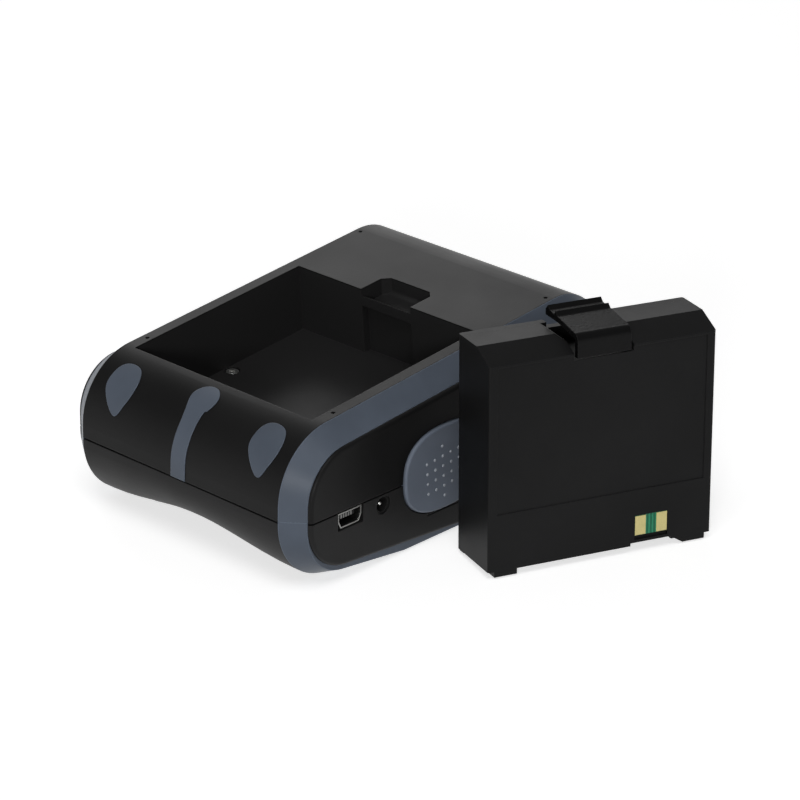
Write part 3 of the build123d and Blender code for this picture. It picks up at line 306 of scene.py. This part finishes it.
def circuit(name, colour, turn=0.0, pitch=0.6):
    """Solder resist over straight copper tracks, which show as raised paler lines."""
    m = Maker(name)
    mapping = m.add("ShaderNodeMapping")
    mapping.inputs["Rotation"].default_value = (0.0, 0.0, math.radians(turn))
    m.link(m.place, "Object", mapping, "Vector")
    wave = m.add("ShaderNodeTexWave", Scale=WAVE_PER_METRE / (pitch * MM), Distortion=0.6, Detail=2.0)
    wave.inputs["Detail Scale"].default_value = 3.0
    m.link(mapping, "Vector", wave, "Vector")
    tracks = m.ramp(wave, "Fac", [(0.55, grey(0.0)), (0.75, grey(1.0))])
    slow = m.noise(90.0)
    tone = m.ramp(slow, "Fac", [(0.3, toned(colour, 0.85)), (0.7, colour)])
    tracked = m.mix(tracks, "Color", tone.outputs["Color"], toned(colour, 1.8, 0.01))
    m.tree.links.new(tracked, m.shader.inputs["Base Color"])
    m.link(m.spread(slow, "Fac", 0.25, 0.4), "Result", m.shader, "Roughness")
    m.shader.inputs["Specular IOR Level"].default_value = 0.25
    m.link(m.bump(tracks, "Color", 0.4, 0.00003), "Normal", m.shader, "Normal")
    return m.material


CASE = (0.0075, 0.0074, 0.0076, 1.0)
# Paler black for the inside of the battery bay: painted light on the same plastic as the case
BAY_PAINTED_LIGHT = (0.024, 0.0237, 0.024, 1.0)
LOWER_CASE = (0.013, 0.0128, 0.013, 1.0)
PACK = (0.0105, 0.0105, 0.0108, 1.0)
BAND = (0.104, 0.126, 0.163, 1.0)

looks = {
    "case": plastic("case_plastic", CASE, 0.38, grain=0.2, specular=0.12, painted_light_box=BAY_BOX,
                    painted_light_colour=BAY_PAINTED_LIGHT),
    "lower_case": plastic("lower_case_plastic", LOWER_CASE, 0.46, grain=0.3, specular=0.14),
    "pack": plastic("pack_plastic", PACK, 0.42, grain=0.2, edge_radius=0.18, specular=0.1),
    # The latch's strongly paler edges are rubbed edges and also painted glints
    "latch": plastic("latch_plastic", (0.005, 0.005, 0.0052, 1.0), 0.24, grain=0.5, grain_scale=1400.0,
                     edge_radius=0.2, wear_and_glint=0.6, specular=0.1),
    "inner": plastic("inner_plastic", (0.012, 0.012, 0.012, 1.0), 0.5, grain=0.2),
    "overlay": plastic("overlay_film", (0.008, 0.008, 0.009, 1.0), 0.16, grain=0.04, coat=0.4),
    "band": rubber("band_rubber", BAND, 0.38, specular=0.2),
    # Release buttons: the band's rubber painted about one and a half times paler, as painted light for their
    # sideways faces
    "pad": rubber("pad_rubber", (0.16, 0.187, 0.236, 1.0), 0.4, specular=0.24),
    "key": rubber("key_rubber", (0.09, 0.1, 0.12, 1.0)),
    "dome": rubber("dome_silicone", (0.42, 0.42, 0.4, 1.0)),
    "roller": rubber("platen_rubber", (0.02, 0.02, 0.021, 1.0), 0.45, 0.35),
    "steel": metal("plated_steel", (0.62, 0.62, 0.6, 1.0), 0.24),
    "thin_steel": metal("thin_steel", (0.3, 0.3, 0.29, 1.0), 0.3),
    "screw": metal("screw_steel", (0.92, 0.92, 0.9, 1.0), 0.34, tarnish=0.1),
    "shaft": metal("ground_steel", (0.66, 0.66, 0.66, 1.0), 0.18, (30.0, 1.0, 1.0)),
    "frame": metal("pressed_steel", (0.5, 0.5, 0.49, 1.0), 0.34),
    "motor": metal("motor_steel", (0.42, 0.42, 0.43, 1.0), 0.36),
    "sink": metal("heatsink_aluminium", (0.7, 0.7, 0.71, 1.0), 0.38),
    "gold": metal("gold_plate", (0.56, 0.49, 0.22, 1.0), 0.28, (1.0, 1.0, 30.0), 0.15, 0.12),
    "foil": metal("cell_foil", (0.6, 0.6, 0.61, 1.0), 0.42, (8.0, 8.0, 1.0), 0.6),
    "board": circuit("board_resist", (0.006, 0.075, 0.03, 1.0)),
    "strip": circuit("contact_board_resist", (0.015, 0.18, 0.092, 1.0), turn=STRIP_TURN, pitch=0.9),
    "chip": plastic("chip_resin", (0.015, 0.015, 0.016, 1.0), 0.55, grain=0.3),
    "gear": plastic("acetal", (0.62, 0.61, 0.57, 1.0), 0.4, grain=0.1, blotch=0.06),
    "ceramic": plastic("glazed_ceramic", (0.6, 0.56, 0.48, 1.0), 0.14, grain=0.03, blotch=0.08, coat=0.5),
    "lens": plastic("light_pipe", (0.45, 0.52, 0.45, 1.0), 0.3, grain=0.05, blotch=0.05),
    "dots": plastic("dot_plastic", (0.4, 0.43, 0.48, 1.0), 0.45, grain=0.05, blotch=0.1),
}

dressing = {
    "case": ["bottom_shell"],
    "lower_case": ["top_shell", "lid"],
    "pack": ["pack_case", "pack_cover"],
    "latch": ["pack_latch"],
    "inner": ["usb_tongue", "dc_jack", "battery_contact_block", "roll_bucket"],
    "overlay": ["panel_overlay"],
    "band": ["band_upper_right", "band_upper_left", "band_lower_right", "band_lower_left", "teardrop_inlay_left",
             "teardrop_inlay_right", "centre_inlay"],
    "pad": ["release_button_right", "release_button_left"],
    "key": ["power_button", "feed_button"],
    "dome": ["power_key_dome", "feed_key_dome"],
    "roller": ["platen_roller"],
    "thin_steel": ["usb_shell"],
    "screw": ["bay_screws"],
    "steel": ["board_screws", "dc_jack_pin", "tear_bar", "release_spring_right",
              "release_spring_left", "head_springs"],
    "shaft": ["platen_shaft", "hinge_pin", "gear_pin"],
    "frame": ["mechanism_frame"],
    "motor": ["feed_motor"],
    "sink": ["head_heatsink"],
    "gold": ["battery_contacts", "pack_contact_pads"],
    "foil": ["pack_cells"],
    "board": ["main_board", "key_board"],
    "strip": ["pack_contact_board"],
    "chip": ["board_components"],
    "gear": ["platen_gear", "reduction_gear", "motor_pinion", "platen_bushes"],
    "ceramic": ["print_head"],
    "lens": ["status_lenses"],
}
for look, names in dressing.items():
    for name in names:
        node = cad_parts[name]
        if not node.material_slots:
            node.data.materials.append(looks[look])
        for slot in node.material_slots:
            slot.material = looks[look]


def make_object(name, mesh, look):
    obj = bpy.data.objects.new(name, mesh)
    scene.collection.objects.link(obj)
    mesh.materials.append(looks[look])
    return obj


def smooth_faces(mesh):
    for polygon in mesh.polygons:
        polygon.use_smooth = True


def on_base(y, depth):
    """World y and z, in mm, of a place given along the tilted base and below it."""
    return y * TILT_COS + depth * TILT_SIN, BASE_HEIGHT + y * TILT_SIN - depth * TILT_COS


def pad_dots(side):
    """Raised light dots on a release button: eight columns, of which two are longer."""
    bm = bmesh.new()
    for i in range(DOT_COLUMNS):
        along = DOT_CENTRE_Y + (i - (DOT_COLUMNS - 1) / 2) * DOT_PITCH_Y
        rows = DOT_LONG_ROWS if i in DOT_LONG_COLUMNS else DOT_ROWS
        for j in range(rows):
            depth = DOT_CENTRE_DEPTH + (j - (rows - 1) / 2) * DOT_PITCH_Z
            y, z = on_base(along, depth)
            place = Matrix.Translation(Vector((side * PAD_FACE_X, y, z)))
            flat = Matrix.Diagonal((0.5, 1.0, 1.0, 1.0))
            bmesh.ops.create_uvsphere(bm, u_segments=14, v_segments=8, radius=DOT_RADIUS, matrix=place @ flat)
    mesh = finished_mesh("pad_dots", bm)
    smooth_faces(mesh)
    obj = make_object("pad_dots_right" if side > 0 else "pad_dots_left", mesh, "dots")
    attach(obj, "release_right" if side > 0 else "release_left")


def box_into(bm, low, high):
    """Add a plain box between two corners, in mm."""
    size = [b - a for a, b in zip(low, high)]
    middle = [(a + b) / 2 for a, b in zip(low, high)]
    place = Matrix.Translation(Vector(middle)) @ Matrix.Diagonal((*size, 1.0))
    bmesh.ops.create_cube(bm, size=1.0, matrix=place)


def finished_mesh(name, bm):
    """Mesh in metres from geometry drawn in mm."""
    bmesh.ops.scale(bm, vec=(MM, MM, MM), verts=bm.verts)
    mesh = bpy.data.meshes.new(name)
    bm.to_mesh(mesh)
    bm.free()
    return mesh


def socket_contacts():
    """Five sprung contacts on the tongue of the mini-B socket, bent over its front edge."""
    bm = bmesh.new()
    for i in range(-2, 3):
        y = USB_Y + i * USB_CONTACT_PITCH
        near = y - USB_CONTACT_HALF
        corner = (TONGUE_END_X + CONTACT_SKIN, y + USB_CONTACT_HALF, TONGUE_TOP + CONTACT_SKIN)
        box_into(bm, (TONGUE_END_X - 5.0, near, TONGUE_TOP), corner)
        box_into(bm, (TONGUE_END_X, near, TONGUE_TOP - 1.0), corner)
    obj = make_object("usb_contacts", finished_mesh("usb_contacts", bm), "thin_steel")
    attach(obj, "printer_body")


def jack_pin_tip():
    """Rounded, polished tip of the charging socket's pin."""
    bm = bmesh.new()
    place = Matrix.Translation(Vector((JACK_PIN_END_X, JACK_Y, JACK_Z)))
    bmesh.ops.create_uvsphere(bm, u_segments=20, v_segments=12, radius=JACK_PIN_RADIUS, matrix=place)
    mesh = finished_mesh("jack_pin_tip", bm)
    smooth_faces(mesh)
    obj = make_object("jack_pin_tip", mesh, "steel")
    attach(obj, "printer_body")


def eased(share):
    """Smooth step between 0 and 1."""
    share = min(max(share, 0.0), 1.0)
    return share * share * (3 - 2 * share)


def arch_rise(x, y, z):
    """How far, in mm, a point of the control panel's end lies above the solids' shallower dish."""
    if abs(x) >= ARCH_HALF_WIDTH or y >= ARCH_END_Y or z >= ARCH_TOP_Z:
        return 0.0
    across = math.cos(math.pi * x / (2 * ARCH_HALF_WIDTH)) ** 2
    along = eased((ARCH_END_Y - y) / (ARCH_END_Y - ARCH_FULL_Y))
    inner = eased((y - DISH_FRONT_Y) / (DISH_FULL_Y - DISH_FRONT_Y))
    return (ARCH_RISE + DISH_RISE * inner) * across * along * (1 - max(z, 0.0) / ARCH_TOP_Z)


def rounding_z(y):
    """Height, in mm, of the solids' front rounding."""
    return LOW_RADIUS - math.sqrt(LOW_RADIUS ** 2 - (FRONT_Y + LOW_RADIUS - y) ** 2)


def rounding_lift(x, y):
    """How far, in mm, the film is raised to stand just proud of the front rounding."""
    if y >= FRONT_Y + LOW_RADIUS:
        return 0.0
    fall = (SCOOP_FRONT - SCOOP_REAR) / (SHELL_END_Y - FRONT_Y)
    dish = SCOOP_FRONT - fall * (y - FRONT_Y) - (SCOOP_RADIUS - math.sqrt(SCOOP_RADIUS ** 2 - x ** 2))
    return max(rounding_z(y) - dish - FILM_PROUD, 0.0)


def tucked(name, x, y, z):
    """Height, in mm, of a point of the film or of a post's end once it follows the front rounding."""
    if name == "panel_overlay":
        return z + rounding_lift(x, y)
    if name == "top_shell" and math.hypot(abs(x) - POST_X, y - POST_Y) < POST_REACH:
        return max(z, rounding_z(y))
    return z


def arched_copy(name, body):
    """Stand-in for a node: its own mesh, cut into narrow fields and raised with the deeper dish."""
    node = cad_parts[name]
    bm = bmesh.new()
    bm.from_mesh(node.data)
    reach = int(ARCH_HALF_WIDTH)
    planes = [((x * MM, 0.0, 0.0), (1.0, 0.0, 0.0)) for x in range(-reach + 1, reach, ARCH_STEP)]
    planes += [((0.0, y * MM, 0.0), (0.0, 1.0, 0.0))
               for y in range(ARCH_CUT_START_Y, int(ARCH_END_Y), ARCH_STEP)]
    for place, normal in planes:
        geometry = bm.verts[:] + bm.edges[:] + bm.faces[:]
        bmesh.ops.bisect_plane(bm, geom=geometry, dist=CUT_TOLERANCE, plane_co=place, plane_no=normal)
    for vert in bm.verts:
        x, y, z = (c / MM for c in vert.co)
        z = tucked(name, x, y, z)
        vert.co.z = (z + arch_rise(x, y, z)) * MM
    mesh = bpy.data.meshes.new(name + "_arched")
    bm.to_mesh(mesh)
    bm.free()
    if "custom_normal" in mesh.attributes:
        mesh.attributes.remove(mesh.attributes["custom_normal"])
    smooth_faces(mesh)
    mesh.set_sharp_from_angle(angle=SHARP_ANGLE)
    obj = bpy.data.objects.new(name + "_arched", mesh)
    scene.collection.objects.link(obj)
    mesh.materials.append(node.material_slots[0].material)
    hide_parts(name)
    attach(obj, body)


for name, body in (("top_shell", "printer_body"), ("panel_overlay", "printer_body"),
                   ("status_lenses", "printer_body"), ("key_board", "printer_body"),
                   ("power_key_dome", "printer_body"), ("feed_key_dome", "printer_body"),
                   ("power_button", "power_key"), ("feed_button", "feed_key")):
    arched_copy(name, body)
for side in (1, -1):
    pad_dots(side)
socket_contacts()
jack_pin_tip()


# Camera at the photograph's place
azimuth = math.radians(42.784)
elevation = math.radians(23.771)
roll = math.radians(1.074)
back = Vector((math.sin(azimuth) * math.cos(elevation), -math.cos(azimuth) * math.cos(elevation),
               math.sin(elevation)))
right = Vector((math.cos(azimuth), math.sin(azimuth), 0.0))
up = back.cross(right)
cam_x = math.cos(roll) * right + math.sin(roll) * up
cam_y = -math.sin(roll) * right + math.cos(roll) * up
camera_data = bpy.data.cameras.new("camera")
camera_data.sensor_width = 36.0
camera_data.lens = 158.72
camera_data.clip_end = 20.0
camera = bpy.data.objects.new("camera", camera_data)
turn = Matrix((cam_x, cam_y, back)).transposed().to_4x4()
camera.matrix_world = Matrix.Translation(Vector((0.53713, -0.5599, 0.36275))) @ turn
scene.collection.objects.link(camera)
scene.camera = camera


def new_tree(owner):
    """Empty node tree of a material or world."""
    owner.use_nodes = True
    owner.node_tree.nodes.clear()
    return owner.node_tree


def math_node(tree, operation, a, b):
    """Math on two sockets or plain values."""
    node = tree.nodes.new("ShaderNodeMath")
    node.operation = operation
    for value, socket in zip((a, b), node.inputs):
        if isinstance(value, float):
            socket.default_value = value
        else:
            tree.links.new(value, socket)
    return node.outputs[0]


def map_range(tree, source, **values):
    node = tree.nodes.new("ShaderNodeMapRange")
    for key, value in values.items():
        node.inputs[key.replace("_", " ").title()].default_value = value
    tree.links.new(source, node.inputs["Value"])
    return node.outputs["Result"]


def seen_directly(tree, path):
    """Socket that is one for camera, glossy and transmission rays."""
    first = math_node(tree, "MAXIMUM", path.outputs["Is Camera Ray"], path.outputs["Is Glossy Ray"])
    return math_node(tree, "MAXIMUM", first, path.outputs["Is Transmission Ray"])


def make_floor():
    """White floor, see-through from below and to rays that start on what stands on it."""
    bm = bmesh.new()
    bmesh.ops.create_grid(bm, x_segments=1, y_segments=1, size=FLOOR_HALF_SIZE)
    mesh = bpy.data.meshes.new("floor")
    bm.to_mesh(mesh)
    bm.free()
    material = bpy.data.materials.new("floor_white")
    tree = new_tree(material)
    output = tree.nodes.new("ShaderNodeOutputMaterial")
    diffuse = tree.nodes.new("ShaderNodeBsdfDiffuse")
    diffuse.inputs["Color"].default_value = grey(FLOOR_WHITE)
    glow = tree.nodes.new("ShaderNodeEmission")
    glow.inputs["Color"].default_value = grey(1.0)
    path = tree.nodes.new("ShaderNodeLightPath")
    level = math_node(tree, "MULTIPLY", seen_directly(tree, path), FLOOR_GLOW)
    tree.links.new(level, glow.inputs["Strength"])
    both = tree.nodes.new("ShaderNodeAddShader")
    tree.links.new(diffuse.outputs[0], both.inputs[0])
    tree.links.new(glow.outputs[0], both.inputs[1])
    geometry = tree.nodes.new("ShaderNodeNewGeometry")
    near = math_node(tree, "LESS_THAN", path.outputs["Ray Length"], NEAR_RAY)
    through = math_node(tree, "MAXIMUM", geometry.outputs["Backfacing"], near)
    clear = tree.nodes.new("ShaderNodeBsdfTransparent")
    choose = tree.nodes.new("ShaderNodeMixShader")
    tree.links.new(through, choose.inputs["Fac"])
    tree.links.new(both.outputs[0], choose.inputs[1])
    tree.links.new(clear.outputs[0], choose.inputs[2])
    tree.links.new(choose.outputs[0], output.inputs["Surface"])
    mesh.materials.append(material)
    obj = bpy.data.objects.new("floor", mesh)
    obj.location.z = -FLOOR_DROP
    scene.collection.objects.link(obj)


def make_backdrop():
    """White to the camera; for reflections a wall that darkens with height, and faint as a light."""
    world = bpy.data.worlds.new("studio")
    scene.world = world
    tree = new_tree(world)
    output = tree.nodes.new("ShaderNodeOutputWorld")
    backdrop = tree.nodes.new("ShaderNodeBackground")
    backdrop.inputs["Color"].default_value = grey(1.0)
    path = tree.nodes.new("ShaderNodeLightPath")
    strength = map_range(tree, seen_directly(tree, path), to_min=BACKDROP_LIGHT, to_max=1.0)
    direction = tree.nodes.new("ShaderNodeTexCoord")
    split = tree.nodes.new("ShaderNodeSeparateXYZ")
    tree.links.new(direction.outputs["Generated"], split.inputs[0])
    height = map_range(tree, split.outputs["Z"], from_min=WALL_LOW, from_max=WALL_HIGH,
                       to_min=1.0, to_max=WALL_DIM)
    wall_tone = math_node(tree, "MAXIMUM", height, path.outputs["Is Camera Ray"])
    level = math_node(tree, "MULTIPLY", strength, wall_tone)
    tree.links.new(level, backdrop.inputs["Strength"])
    tree.links.new(backdrop.outputs[0], output.inputs["Surface"])


def soft_light(name, place, aim, size, power):
    data = bpy.data.lights.new(name, "AREA")
    data.shape = "RECTANGLE"
    data.size, data.size_y = size
    data.energy = power
    obj = bpy.data.objects.new(name, data)
    obj.location = place
    obj.rotation_mode = "QUATERNION"
    obj.rotation_quaternion = (Vector(aim) - Vector(place)).to_track_quat("-Z", "Y")
    scene.collection.objects.link(obj)


make_floor()
make_backdrop()
soft_light("back_left", (-1.16, 0.78, 0.7), (0.0, 0.0, 0.02), (1.0, 0.8), 4.0)
soft_light("top", (0.35, -0.45, 1.25), (0.0, 0.0, 0.02), (0.8, 0.8), 5.5)
soft_light("key_right", (0.8, -1.07, 0.42), (0.0, 0.0, 0.02), (0.22, 0.22), 4.5)

scene.view_settings.view_transform = "Standard"
